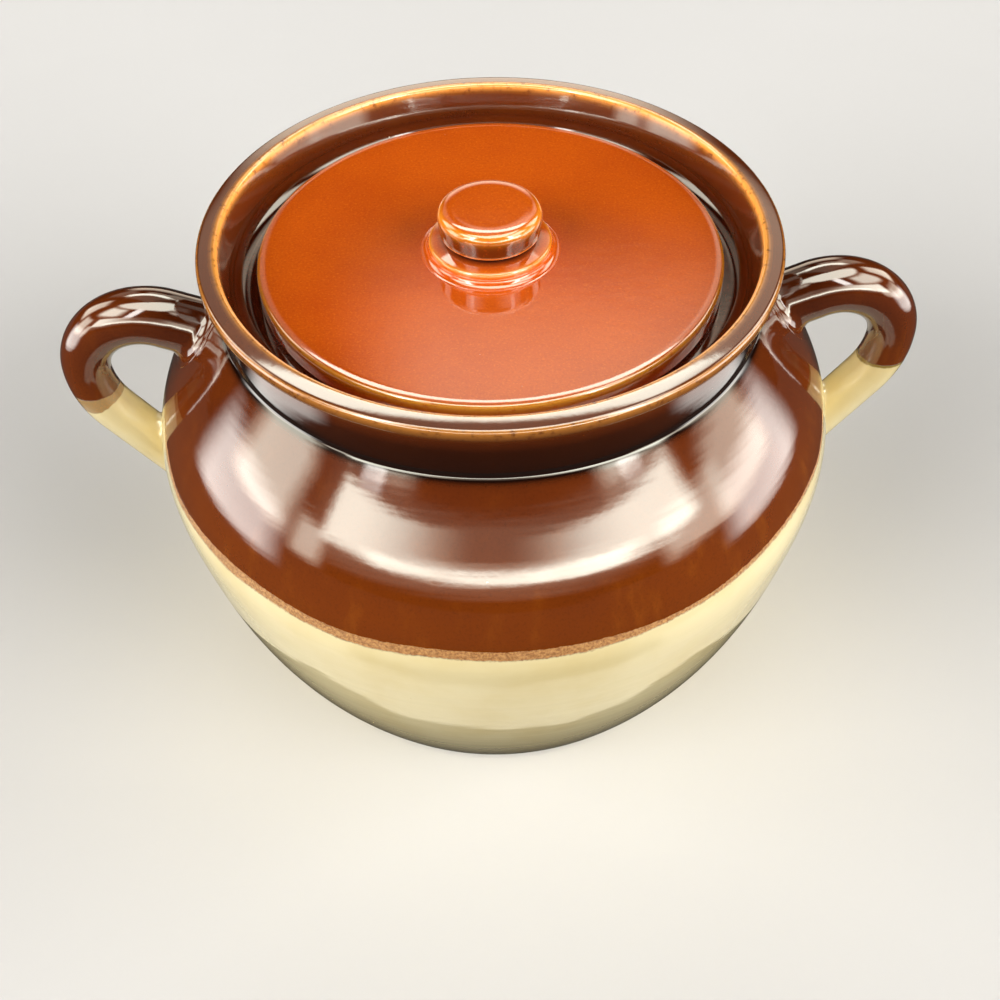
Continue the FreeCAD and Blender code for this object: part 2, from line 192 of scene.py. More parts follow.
def addNode(tree, kind, inputs=None, **settings):
    node = tree.nodes.new(kind)
    for name, value in settings.items():
        setattr(node, name, value)
    for key, value in (inputs or {}).items():
        socket = node.inputs[key]
        if isinstance(value, bpy.types.NodeSocket):
            tree.links.new(value, socket)
        else:
            socket.default_value = value
    return node


def reckon(tree, operation, first, second=0.0, clamp=False):
    node = addNode(tree, "ShaderNodeMath", {0: first, 1: second}, operation=operation)
    node.use_clamp = clamp
    return node.outputs[0]


def fade(tree, value, gone, full):
    # 0 up to the first of two values, 1 from the second one on, and soft between them
    node = addNode(tree, "ShaderNodeMapRange", {"Value": value, "From Min": gone, "From Max": full})
    node.interpolation_type = "SMOOTHSTEP"
    return node.outputs[0]


def blendColours(tree, share, first, second):
    # a colour is a socket or three numbers
    inputs = {0: share}
    for key, colour in ((6, first), (7, second)):
        inputs[key] = colour if isinstance(colour, bpy.types.NodeSocket) else (*colour, 1)
    return addNode(tree, "ShaderNodeMix", inputs, data_type="RGBA").outputs[2]


def buildTurningTree():
    # turns a row of points round the Z axis, and carries along their values of thin glaze and of
    # pooled glaze with painted shade
    tree = bpy.data.node_groups.new("turning", "GeometryNodeTree")
    for name, way, kind in (
        ("Outline", "INPUT", "Geometry"),
        ("Steps", "INPUT", "Int"),
        ("Glaze", "INPUT", "Material"),
        ("Piece", "OUTPUT", "Geometry"),
    ):
        tree.interface.new_socket(name, in_out=way, socket_type="NodeSocket" + kind)

    def geometry(kind, **inputs):
        return addNode(tree, "GeometryNode" + kind, inputs).outputs[0]

    def whole(operation, first, second):
        inputs = {0: first, 1: second}
        return addNode(tree, "FunctionNodeIntegerMath", inputs, operation=operation).outputs[0]

    given = addNode(tree, "NodeGroupInput").outputs
    size = addNode(tree, "GeometryNodeAttributeDomainSize", {0: given["Outline"]})
    count = size.outputs["Point Count"]
    grid = addNode(tree, "GeometryNodeMeshGrid", {
        "Vertices X": whole("ADD", given["Steps"], 1),
        "Vertices Y": count,
    })
    index = geometry("InputIndex")
    row = whole("MODULO", index, count)
    step = whole("DIVIDE_FLOOR", index, count)

    def sample(value, kind):
        # the value at the outline's point that this row is made from
        inputs = {"Geometry": given["Outline"], "Value": value, "Index": row}
        node = addNode(tree, "GeometryNodeSampleIndex", inputs, data_type=kind, domain="POINT")
        return node.outputs[0]

    angle = reckon(tree, "MULTIPLY", reckon(tree, "DIVIDE", step, given["Steps"]), math.tau)
    spot = sample(geometry("InputPosition"), "FLOAT_VECTOR")
    spot = addNode(tree, "ShaderNodeSeparateXYZ", {0: spot}).outputs
    x = reckon(tree, "MULTIPLY", reckon(tree, "COSINE", angle), spot["X"])
    y = reckon(tree, "MULTIPLY", reckon(tree, "SINE", angle), spot["X"])
    place = addNode(tree, "ShaderNodeCombineXYZ", {"X": x, "Y": y, "Z": spot["Z"]}).outputs[0]
    made = geometry("SetPosition", Geometry=grid.outputs["Mesh"], Position=place)
    for name in ("thin", "pool"):
        value = addNode(tree, "GeometryNodeInputNamedAttribute", {"Name": name}, data_type="FLOAT")
        carried = sample(value.outputs["Attribute"], "FLOAT")
        inputs = {"Geometry": made, "Name": name, "Value": carried}
        kind = "GeometryNodeStoreNamedAttribute"
        made = addNode(tree, kind, inputs, data_type="FLOAT", domain="POINT").outputs[0]
    made = geometry("MergeByDistance", Geometry=made, Distance=2e-6)
    made = geometry("SetShadeSmooth", Geometry=made)
    made = geometry("RealizeInstances", Geometry=made)
    made = geometry("SetMaterial", Geometry=made, Material=given["Glaze"])
    addNode(tree, "NodeGroupOutput", {0: made})
    return tree


turningTree = buildTurningTree()


def faceOutwards(mesh):
    work = bmesh.new()
    work.from_mesh(mesh)
    bmesh.ops.recalc_face_normals(work, faces=work.faces)
    if work.calc_volume(signed=True) < 0:
        bmesh.ops.reverse_faces(work, faces=work.faces)
    work.to_mesh(mesh)
    work.free()


def turnedPiece(name, corners, steps, glaze):
    points, marks = outline(corners)
    mesh = bpy.data.meshes.new(name + "_outline")
    edges = [(i, i + 1) for i in range(len(points) - 1)]
    mesh.from_pydata([(r * mm, 0, z * mm) for r, z in points], edges, [])
    for kind, values in marks.items():
        attribute = mesh.attributes.new(kind, "FLOAT", "POINT")
        attribute.data.foreach_set("value", values.astype(np.float32))
    draft = bpy.data.objects.new(name + "_draft", mesh)
    bpy.context.scene.collection.objects.link(draft)
    modifier = draft.modifiers.new("turning", "NODES")
    modifier.node_group = turningTree
    items = turningTree.interface.items_tree
    sockets = {item.name: item.identifier for item in items if item.in_out == "INPUT"}
    modifier[sockets["Steps"]] = steps
    modifier[sockets["Glaze"]] = glaze
    graph = bpy.context.evaluated_depsgraph_get()
    plain = bpy.data.meshes.new_from_object(draft.evaluated_get(graph), depsgraph=graph)
    plain.name = name
    bpy.data.objects.remove(draft)
    faceOutwards(plain)
    piece = bpy.data.objects.new(name, plain)
    bpy.context.scene.collection.objects.link(piece)
    print(f"{name}: {len(points)} outline points, {len(plain.polygons)} faces")
    return piece


class Glaze:
    # a material whose nodes are added in short steps. Its lengths are in millimetres

    def __init__(self, name):
        self.material = bpy.data.materials.new(name)
        self.material.use_nodes = True
        self.tree = self.material.node_tree
        self.shader = self.tree.nodes["Principled BSDF"]
        spot = self.add("ShaderNodeTexCoord").outputs["Object"]
        inputs = {0: spot, "Scale": 1 / mm}
        self.place = self.add("ShaderNodeVectorMath", inputs, operation="SCALE").outputs[0]
        split = self.add("ShaderNodeSeparateXYZ", {0: self.place}).outputs
        self.along, self.across, self.height = split  # across the handles, front to back, up

    def add(self, kind, inputs=None, **settings):
        return addNode(self.tree, kind, inputs, **settings)

    def math(self, operation, first, second=0.0, clamp=False):
        return reckon(self.tree, operation, first, second, clamp)

    def plus(self, first, second, clamp=False):
        return self.math("ADD", first, second, clamp)

    def minus(self, first, second):
        return self.math("SUBTRACT", first, second)

    def times(self, first, second, clamp=False):
        return self.math("MULTIPLY", first, second, clamp)

    def between(self, share, low, high):
        # low where the share is 0, high where it is 1
        return self.plus(low, self.times(share, high - low))

    def shifted(self, shift, stretch=(1, 1, 1)):
        mapping = self.add("ShaderNodeMapping", {"Vector": self.place})
        mapping.inputs["Scale"].default_value = stretch
        mapping.inputs["Location"].default_value = shift
        return mapping.outputs[0]

    def noise(self, size, detail=3.0, rough=0.55, stretch=(1, 1, 1), shift=0.0):
        # cloud noise around 0.5 whose features are about size millimetres across
        moved = shift or stretch != (1, 1, 1)
        node = self.add("ShaderNodeTexNoise", {
            "Vector": self.shifted((shift,) * 3, stretch) if moved else self.place,
            "Scale": 1 / size,
            "Detail": detail,
            "Roughness": rough,
        })
        return node.outputs["Fac"]

    def waves(self, height, *noise):
        # the same noise around 0, the given height from its lowest to its highest
        return self.times(self.minus(self.noise(*noise), 0.5), height)

    def ramp(self, value, low, high):
        return fade(self.tree, value, low, high)

    def blend(self, share, first, second):
        return blendColours(self.tree, share, first, second)

    def attribute(self, name):
        return self.add("ShaderNodeAttribute", attribute_name=name).outputs["Fac"]

    def specks(self, spacing, size, kept, shift=0.0):
        # 1 in small round dots. A cell of the given spacing has one where the share kept lets it
        inputs = {"Vector": self.shifted((shift, -shift, shift)), "Scale": 1 / spacing}
        cells = self.add("ShaderNodeTexVoronoi", inputs).outputs
        rim, full = size / spacing, size / spacing * 0.4
        chance = self.add("ShaderNodeSeparateColor", {0: cells["Color"]}).outputs[0]
        dots = self.ramp(cells["Distance"], rim, full)
        return self.times(dots, self.math("LESS_THAN", chance, kept))

    def bump(self, value, height, below=None):
        inputs = {"Height": value, "Strength": 1.0, "Distance": height * mm}
        if below is not None:
            inputs["Normal"] = below
        return self.add("ShaderNodeBump", inputs).outputs[0]

    def finish(self, colour, roughness, normal, coat):
        for name, source in (
            ("Base Color", colour),
            ("Roughness", roughness),
            ("Normal", normal),
            ("Coat Normal", normal),
        ):
            self.tree.links.new(source, self.shader.inputs[name])
        for name, value in (("IOR", coat["ior"]), ("Coat IOR", coat["ior"]),
                            ("Coat Weight", coat["weight"]), ("Coat Roughness", coat["roughness"])):
            self.shader.inputs[name].default_value = value
        return self.material


coat = {"weight": 0.85, "roughness": 0.045, "ior": 1.5}  # the clear upper part of both glazes

twoTone = {
    "line": 88.8,  # height of the brown glaze's lower edge
    "lineBlur": 0.22,
    "raised": 9.6,  # how much higher that edge runs at the handles
    "raisedFrom": (0.48, 0.12),  # slants off the X axis, y over x, between which it rises there
    "swell": 3.0,  # the part of that rise which starts far from them
    "swellFrom": (2.2, 0.35),
    "tilt": 0.008,  # how much that edge rises along X
    "rightDrop": 2.6,  # how much lower it runs on the right handle itself
    "rightDropFrom": (97, 101),
    "wander": (2.2, 38, 2),  # height, length and detail of the edge's waves
    "ragged": (1.1, 2.6, 4, 0.7),  # the same, and the roughness, of its small bits
    "bare": 2.5,  # width of the sandy band under it
    "bareFrom": (0.16, 0.30),  # slants between which it widens, away from the handles
    "bareShares": (0.25, 1.0),  # shares of its width at the handles and away from them
    "bareSides": (1.1, 0.5),  # and at the left and the right
    "bareGrains": (1.2, 0.9, 3, 0.6),
    "leftLap": (2.0, 5.2),  # width of the thin overlap on the left handle, inside and outside
    "leftLapFrom": (-104, -114),
    "rightLap": 0.9,  # and on the right one
    "loops": (98, 101),  # where the handles start along X
    "deep": (0.085, 0.016, 0.004),
    "deepFrom": (2, 30),  # heights above the line between which the brown gets deep
    "caramel": (0.150, 0.029, 0.0022),
    "amber": (0.215, 0.052, 0.004),
    "amberShares": (0.75, 0.15),  # share of its streaks low down and high up
    "break": (0.84, 0.34, 0.060),
    # colour of pooled glaze and of the painted shade in the collar and the gallery's cove; also of
    # the fine dark grain
    "pooled": (0.008, 0.0025, 0.0015),
    "sand": (0.51, 0.265, 0.095),
    "sandDark": (0.24, 0.095, 0.026),
    "lapTan": (0.38, 0.25, 0.11),
    "olive": (0.26, 0.17, 0.03),
    "cream": (0.79, 0.68, 0.395),
    "creamWarm": (0.73, 0.60, 0.305),
    "iron": (0.30, 0.17, 0.07),  # specks in the cream
    "speck": (0.80, 0.72, 0.58),  # specks in the brown
    "gloss": (0.05, 0.10),  # lowest and highest roughness
    "bareRough": 0.55,
    "rings": 0.05,  # depth of the faint throwing rings
    "peel": 0.014,  # depth of the glaze's orange peel
    "grain": 0.35,  # depth of the bare clay's grain
    "step": 0.12,  # thickness of the brown glaze at its edge
}


def twoToneGlaze():
    g = Glaze("brown_and_cream_glaze")
    look = twoTone
    line = look["line"]

    # the glaze's edge: a height that wanders, and rises where a handle stands in the dip's way
    reach = g.math("MAXIMUM", g.math("ABSOLUTE", g.along), 0.5)
    slant = g.math("DIVIDE", g.math("ABSOLUTE", g.across), reach)
    raised = g.times(g.ramp(slant, *look["raisedFrom"]), look["raised"] - look["swell"])
    raised = g.plus(raised, g.times(g.ramp(slant, *look["swellFrom"]), look["swell"]))
    raised = g.plus(raised, g.times(g.along, look["tilt"]))
    raised = g.minus(raised, g.times(g.ramp(g.along, *look["rightDropFrom"]), look["rightDrop"]))
    uneven = g.plus(g.waves(*look["wander"]), g.waves(*look["ragged"]))
    level = g.plus(g.minus(g.height, raised), uneven)
    brown = g.ramp(level, line - look["lineBlur"], line + look["lineBlur"])

    # the sandy band under the edge, and the thin overlap on the handles
    onBelly = g.ramp(slant, *look["bareFrom"])
    bandWidth = g.times(g.noise(55, 1, shift=31), look["bare"] * 2)
    bandWidth = g.times(bandWidth, g.between(onBelly, *look["bareShares"]))
    bandWidth = g.times(bandWidth, g.between(g.ramp(g.along, 0, 70), *look["bareSides"]))
    aboveBand = g.minus(level, g.minus(line, bandWidth))
    sand = g.ramp(g.plus(aboveBand, g.waves(*look["bareGrains"])), -0.3, 0.3)
    loopStart, loopFull = look["loops"]
    leftLap = g.between(g.ramp(g.along, *look["leftLapFrom"]), *look["leftLap"])
    leftLap = g.times(g.ramp(g.along, -loopStart, -loopFull), leftLap)
    rightLap = g.times(g.ramp(g.along, loopStart, loopFull), look["rightLap"])
    lapWidth = g.plus(leftLap, rightLap)
    lapRise = g.plus(g.minus(level, line), lapWidth)
    lap = g.times(g.ramp(lapRise, -0.25, 0.25), g.ramp(lapWidth, 0.2, 0.8))

    # brown glaze: redder and darker up the shoulder, caramel near its edge, softly streaked
    rise = g.ramp(g.height, *(line + h for h in look["deepFrom"]))
    shade = g.plus(g.times(rise, 0.8), g.waves(0.7, 22, 4, 0.5), clamp=True)
    glazeColour = g.blend(shade, look["caramel"], look["deep"])
    streak = g.noise(7, 4, 0.6, stretch=(1, 1, 0.3), shift=7)
    amber = g.times(g.ramp(streak, 0.5, 0.8), g.between(rise, *look["amberShares"]))
    glazeColour = g.blend(amber, glazeColour, look["amber"])
    fine = g.times(g.ramp(g.noise(0.7, 3, 0.6), 0.45, 0.8), 0.22)
    glazeColour = g.blend(fine, glazeColour, look["pooled"])
    mottle = g.ramp(g.noise(1.9, 4, 0.65, shift=13), 0.20, 0.52)
    broken = g.times(g.attribute("thin"), mottle, clamp=True)
    glazeColour = g.blend(broken, glazeColour, look["break"])
    # pooled glaze and painted shade: darkens the collar under the rim and the cove above the
    # gallery
    pooled = g.times(g.attribute("pool"), 0.95, clamp=True)
    glazeColour = g.blend(pooled, glazeColour, look["pooled"])

    # sandy band: bare clay with dark grains
    grains = g.ramp(g.noise(0.8, 4, 0.7, shift=3), 0.35, 0.65)
    sandColour = g.blend(grains, look["sandDark"], look["sand"])

    # cream glaze: warmer in soft clouds, with a few iron specks
    clouds = g.ramp(g.noise(26, 4, 0.5, shift=5), 0.4, 0.75)
    creamColour = g.blend(clouds, look["cream"], look["creamWarm"])
    creamColour = g.blend(g.times(g.specks(7, 0.26, 0.30), 0.4), creamColour, look["iron"])

    # overlap: tan and grainy at the left, olive at the right
    lapGrains = g.ramp(g.noise(0.6, 3, 0.6, shift=9), 0.42, 0.75)
    lapColour = g.blend(lapGrains, look["lapTan"], look["sand"])
    lapColour = g.blend(g.ramp(g.along, 0, 50), lapColour, look["olive"])

    colour = g.blend(sand, creamColour, sandColour)
    colour = g.blend(lap, colour, lapColour)
    colour = g.blend(brown, colour, glazeColour)
    dots = g.times(g.specks(11, 0.30, 0.30, shift=17), brown)
    colour = g.blend(g.times(dots, 0.8), colour, look["speck"])

    bare = g.times(g.times(sand, g.minus(1.0, brown)), onBelly)
    gloss = g.between(g.noise(20, 3, shift=2), *look["gloss"])
    roughness = g.plus(gloss, g.times(bare, look["bareRough"]), clamp=True)
    relief = g.bump(g.noise(3.6, 2, 0.5, stretch=(0.04, 0.04, 1), shift=21), look["rings"])
    relief = g.bump(g.noise(3.4, 3, 0.55), look["peel"], relief)
    relief = g.bump(g.times(g.noise(0.7, 3, 0.7), bare), look["grain"], relief)
    relief = g.bump(brown, look["step"], relief)
    return g.finish(colour, roughness, relief, coat)


orange = {
    "bright": (0.565, 0.091, 0.0040),
    "dark": (0.48, 0.066, 0.0035),
    "red": (0.40, 0.048, 0.004),  # fine darker grain
    "light": (0.78, 0.20, 0.012),  # fine lighter grain
    "gold": (0.72, 0.29, 0.022),  # where the glaze breaks thin
    # colour of pooled glaze and of the painted shade under the knob's head
    "pooled": (0.06, 0.012, 0.004),
    "knobSideShade": (0.085, 0.017, 0.003),  # painted shade on the side of the knob's head
    "knobSideShadeFrom": (144.9, 145.6),
    "knobSideShadeTo": (151.6, 149.0),
    "speck": (0.85, 0.68, 0.48),
    "gloss": (0.05, 0.10),  # lowest and highest roughness
    "peel": 0.016,
    "pits": 0.10,  # depth of the specks
}


def orangeGlaze():
    g = Glaze("burnt_orange_glaze")
    look = orange
    clouds = g.ramp(g.noise(24, 3, 0.5), 0.30, 0.85)
    colour = g.blend(clouds, look["bright"], look["dark"])
    darkGrain = g.times(g.ramp(g.noise(0.8, 3, 0.6), 0.42, 0.72), 0.45)
    colour = g.blend(darkGrain, colour, look["red"])
    lightGrain = g.times(g.ramp(g.noise(0.6, 2, 0.6, shift=6), 0.50, 0.75), 0.35)
    colour = g.blend(lightGrain, colour, look["light"])
    # painted shade: the side of the knob's head is darkened, in patches
    side = g.times(g.ramp(g.height, *look["knobSideShadeFrom"]), g.ramp(g.height, *look["knobSideShadeTo"]))
    side = g.times(side, g.ramp(g.noise(1.6, 3, 0.6, shift=4), 0.05, 0.45))
    colour = g.blend(side, colour, look["knobSideShade"])
    mottle = g.ramp(g.noise(1.8, 4, 0.65, shift=13), 0.20, 0.5)
    broken = g.times(g.attribute("thin"), mottle, clamp=True)
    colour = g.blend(broken, colour, look["gold"])
    # pooled glaze and painted shade: darkens the knob's foot under its head
    pooled = g.times(g.attribute("pool"), 0.9, clamp=True)
    colour = g.blend(pooled, colour, look["pooled"])
    dots = g.specks(8, 0.28, 0.35, shift=5)
    colour = g.blend(g.times(dots, 0.75), colour, look["speck"])
    gloss = g.between(g.noise(16, 3, shift=2), *look["gloss"])
    relief = g.bump(g.noise(3.2, 3, 0.55), look["peel"])
    relief = g.bump(g.minus(1.0, dots), look["pits"], relief)
    return g.finish(colour, gloss, relief, coat)


potGlaze = twoToneGlaze()
lidGlaze = orangeGlaze()
print("glazes mixed")

pot = {
    "steps": 256,  # corners of its round
    "recess": (55.3, 2.2),  # radius and depth of the hollow under the foot
    "footInner": 57.5,
    "foot": (66.5, 0.0),
    "bellyPoles": [(83.79, 25.5), (94.79, 71.4), (97.27, 90.9), (86.69, 111.1)],
    "neck": (72.0, 126.8),
    "collarHollow": 60.0,  # radius of the collar's hollow side
    "bandLow": (76.3, 142.5),  # the upright band under the rim
    "bandTop": (76.3, 145.1),
    "lipBow": -40.0,  # the lip's slope is slightly full
    "crest": (70.9, 145.8),
    "wallFoot": (68.7, 137.0),
    "cove": 5.0,  # radius of the hollow above the gallery
    "seat": (63.7, 132.0),  # outer edge of the gallery that the lid lies on
    "throat": 55.0,
    "throatLow": 125.0,
    "innerNeck": 65.5,
    "wall": 6.5,
    "shoulderWall": 8.5,
    "floor": (64.5, 8.2),
}


def makePot():
    walls = [pot["wall"]] * 3 + [pot["shoulderWall"]]
    innerPoles = [(r - wall, z) for (r, z), wall in zip(pot["bellyPoles"], walls)]
    return turnedPiece("pot", [
        corner(0, pot["recess"][1]),
        corner(*pot["recess"]),
        corner(pot["footInner"], 0),
        corner(*pot["foot"], round=3.0, poles=pot["bellyPoles"]),
        # the collar is darkened: pooled glaze and painted shade under the rim
        corner(*pot["neck"], round=2.4, bow=pot["collarHollow"], pool=(2.2, 2.0, 11.0)),
        corner(*pot["bandLow"], round=2.0),
        corner(*pot["bandTop"], round=1.3, thin=(0.48, 2.2, 0.3), bow=pot["lipBow"]),
        corner(*pot["crest"], round=1.2, thin=(1.2, 1.0, 1.4)),
        # the cove is darkened a little: pooled glaze and painted shade
        corner(*pot["wallFoot"], bow=pot["cove"], pool=(0.35, 3.0, 1.0)),
        corner(*pot["seat"]),
        corner(pot["throat"], pot["seat"][1], round=1.6),
        corner(pot["throat"], pot["throatLow"], round=1.6),
        corner(pot["innerNeck"], pot["throatLow"], round=3.0, poles=innerPoles[::-1]),
        corner(*pot["floor"], round=11.0),
        corner(0, pot["floor"][1]),
    ], pot["steps"], potGlaze)


potPiece = makePot()
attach(potPiece, "pot")
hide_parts("pot_body")

lid = {
    "steps": 256,
    "seat": 132.0,
    "top": 139.1,
    "crown": 59.5,  # the top's flat part, which rolls down a little towards the edge
    "edge": 138.75,
    "radius": 61.4,
    "flange": (48.8, 53.8),
    "flangeLow": 127.5,
}


def makeLid():
    inner, outer = lid["flange"]
    return turnedPiece("lid", [
        corner(0, lid["seat"]),
        corner(inner, lid["seat"]),
        corner(inner, lid["flangeLow"], round=1.4),
        corner(outer, lid["flangeLow"], round=1.4),
        corner(outer, lid["seat"]),
        corner(lid["radius"], lid["seat"], round=1.8),
        corner(lid["radius"], lid["edge"], round=1.3, thin=(1.0, 1.8, 0.5)),
        corner(lid["crown"], lid["top"], round=9.0),
        corner(0, lid["top"]),
    ], lid["steps"], lidGlaze)


lidPiece = makeLid()
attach(lidPiece, "lid")
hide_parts("lid_plate")

knob = {
    "steps": 160,
    "flare": (18.4, 139.1),
    "footLow": (16.2, 141.3),
    "footTop": (16.2, 142.3),
    "waist": 11.0,
    "waistHeights": (143.8, 144.6),
    "headLow": 13.1,
    "head": (13.9, 151.6),
    "flat": 10.4,  # the top's flat part, which rolls down a little towards the edge
    "crown": 152.29,
}


def makeKnob():
    low, high = knob["waistHeights"]
    return turnedPiece("knob", [
        corner(0, knob["flare"][1]),
        corner(*knob["flare"], bow=2.2),
        corner(*knob["footLow"]),
        corner(*knob["footTop"], round=0.9, thin=(0.6, 0.8, 0.8)),
        # the foot's top under the head is darkened: pooled glaze and painted shade
        corner(knob["waist"], low, pool=(1.3, 2.6, 1.5)),
        corner(knob["waist"], high),
        corner(knob["headLow"], high, round=0.6, thin=(0.5, 0.5, 0.5)),
        corner(*knob["head"], round=2.6, thin=(0.6, 1.8, 0.9)),
        corner(knob["flat"], knob["crown"], round=12.0),
        corner(0, knob["crown"]),
    ], knob["steps"], lidGlaze)


knobPiece = makeKnob()
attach(knobPiece, "lid")
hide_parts("lid_knob")

handle = {
    "around": 96,  # points round the bar
    "reach": 113.38,  # outermost point of the centreline
    "height": 104.0,  # and its height
    "topCurve": 17.8,
    "lowCurve": 27.0,
    "rise": 23.0,  # slope of the top arm in degrees
    "turn": 36.0,  # slant of the low arm off the upright
    "topRun": 20.0,
    "lowRun": 59.0,
    "topWidth": 16.4,
    "bendWidth": 13.2,
    "lowWidth": 13.0,
    "fillets": (3.6, 1.5),  # radius at the shoulder and at the belly
    "filletSteps": 12,
    "sink": 0.12,  # depth under the pot's surface at which the fillet's edge is tucked in
    "core": 3.0,  # depth of the end's middle in the wall
    "linePoints": (30, 90, 40, 90),  # along the top arm, the top and low bends and the low arm
    "crownPoint": 60,  # the point of the top bend between the two roots
    "rows": 110,  # rings of points from root to root
}


def handleLine():
    # the centreline as points in the XZ plane, how far along each is, the bar's radius there,
    # and how far along its crown is
    rise, turn = math.radians(handle["rise"]), math.radians(handle["turn"])
    reach, height = handle["reach"], handle["height"]
    top = np.array([reach - handle["topCurve"], height])
    low = np.array([reach - handle["lowCurve"], height])
    topCount, overCount, underCount, lowCount = handle["linePoints"]
    over = np.linspace(math.pi / 2 + rise, 0, overCount)
    under = np.linspace(0, -turn, underCount)[1:]
    bend = [top + handle["topCurve"] * np.array([math.cos(a), math.sin(a)]) for a in over]
    bend += [low + handle["lowCurve"] * np.array([math.cos(a), math.sin(a)]) for a in under]
    topWay = np.array([math.cos(rise), math.sin(rise)])
    lowWay = np.array([-math.sin(turn), -math.cos(turn)])
    topArm = [bend[0] - topWay * d for d in np.linspace(handle["topRun"], 0, topCount)[:-1]]
    lowArm = [bend[-1] + lowWay * d for d in np.linspace(0, handle["lowRun"], lowCount)[1:]]
    line = np.array(topArm + bend + lowArm)
    along = lengths(line)
    ends = np.cumsum([len(topArm), len(over) - 1, len(under)])
    marks = [0, *along[ends], along[-1]]
    widths = [handle[k] for k in ("topWidth", "topWidth", "bendWidth", "lowWidth", "lowWidth")]
    crown = along[len(topArm) + handle["crownPoint"]]
    return line, along, np.interp(along, marks, widths) / 2, crown


def shoulderLine():
    # the belly and shoulder that the handles grow from, carried on past the neck
    shoulder, neck = np.array(pot["bellyPoles"][-1]), np.array(pot["neck"])
    onward = neck + (neck - shoulder) / 2
    curve = poleCurve([pot["foot"], *pot["bellyPoles"], pot["neck"]], 900)
    return np.vstack([curve, onward])


def makeHandle(name, side):
    line, along, radii, crown = handleLine()
    shoulder = shoulderLine()
    around = handle["around"]
    ways = np.gradient(line, along, axis=0)
    ways /= np.linalg.norm(ways, axis=1)[:, None]
    slopes = np.gradient(radii, along)

    def barPoint(distance, angle):
        # a point on the bar and its outward normal. Angle 0 is away from the pot's axis
        spot = np.array([np.interp(distance, along, line[:, k]) for k in (0, 1)])
        way = np.array([np.interp(distance, along, ways[:, k]) for k in (0, 1)])
        radius, slope = np.interp(distance, along, radii), np.interp(distance, along, slopes)
        away = np.array([-way[1], 0, way[0]])
        ahead = np.array([way[0], 0, way[1]])
        out = math.cos(angle) * away + math.sin(angle) * np.array([0, 1, 0])
        normal = out - ahead * slope
        return np.array([spot[0], 0, spot[1]]) + radius * out, normal / np.linalg.norm(normal)

    def offPot(point):
        # how far a point is outside the pot's shoulder, and the way out
        reach = math.hypot(point[0], point[1])
        gap, i, _, spot = nearest(shoulder, np.array([reach, point[2]]))
        step = shoulder[i + 1] - shoulder[i]
        outward = np.array([step[1], -step[0]]) / np.linalg.norm(step)
        across = np.array([reach, point[2]]) - spot
        signed = math.copysign(gap, across @ outward)
        way = np.array([point[0] / reach * outward[0], point[1] / reach * outward[0], outward[1]])
        return signed, way

    def rootAt(angle, inner, outer, fillet):
        # where a ball of the fillet's radius rests on both the bar and the pot
        for _ in range(34):  # halvings
            middle = (inner + outer) / 2
            spot, normal = barPoint(middle, angle)
            if offPot(spot + fillet * normal)[0] < fillet:
                inner = middle
            else:
                outer = middle
        spot, normal = barPoint(outer, angle)
        centre = spot + fillet * normal
        signed, way = offPot(centre)
        return outer, spot, centre, centre - way * signed, way, fillet

    angles = np.arange(around) * math.tau / around
    ends = []
    for start, fillet in zip((0, along[-1]), handle["fillets"]):
        ends.append([rootAt(a, start, crown, fillet) for a in angles])
    steps = handle["filletSteps"]

    def filletRows(end):
        # rings of points from the bar to the pot, and one more that is tucked in
        rows = []
        for k in range(steps + 1):
            row = []
            for _, spot, centre, landing, way, fillet in end:
                first, last = (spot - centre) / fillet, (landing - centre) / fillet
                turn = math.acos(max(-1, min(1, first @ last)))
                share = k / steps
                arm = math.sin((1 - share) * turn) * first + math.sin(share * turn) * last
                row.append(centre + fillet * (arm / math.sin(turn)))
            rows.append(row)
        rows.append([landing - way * handle["sink"] for _, _, _, landing, way, _ in end])
        return rows

    middleRows = []
    for k in range(1, handle["rows"]):
        share = k / handle["rows"]
        row = []
        for (start, *_), (end, *_), angle in zip(*ends, angles):
            row.append(barPoint(start + (end - start) * share, angle)[0])
        middleRows.append(row)
    topRows, lowRows = filletRows(ends[0]), filletRows(ends[1])
    rows = topRows[::-1] + middleRows + lowRows
    vertices = [spot for row in rows for spot in row]
    faces = []
    for k in range(len(rows) - 1):
        low, high = k * around, (k + 1) * around
        for i in range(around):
            j = (i + 1) % around
            faces.append((low + i, low + j, high + j, high + i))
    for first in (0, len(rows) - 1):
        middle = np.array(rows[first]).mean(0)
        signed, way = offPot(middle)
        vertices.append(middle - way * (signed + handle["core"]))
        for i in range(around):
            ring = (first * around + i, first * around + (i + 1) % around)
            faces.append((len(vertices) - 1, *ring))
    vertices = np.array(vertices) * [side, side, 1] * mm
    mesh = bpy.data.meshes.new(name)
    mesh.from_pydata(vertices.tolist(), [], faces)
    for kind in ("thin", "pool"):
        mesh.attributes.new(kind, "FLOAT", "POINT")  # 0 all over
    mesh.polygons.foreach_set("use_smooth", [True] * len(mesh.polygons))
    mesh.materials.append(potGlaze)
    faceOutwards(mesh)
    piece = bpy.data.objects.new(name, mesh)
    bpy.context.scene.collection.objects.link(piece)
    print(f"{name}: {len(mesh.polygons)} faces")
    return piece


for name, node, side in (("loop_right", "handle_right", 1), ("loop_left", "handle_left", -1)):
    loopPiece = makeHandle(name, side)
    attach(loopPiece, "pot")
    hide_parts(node)

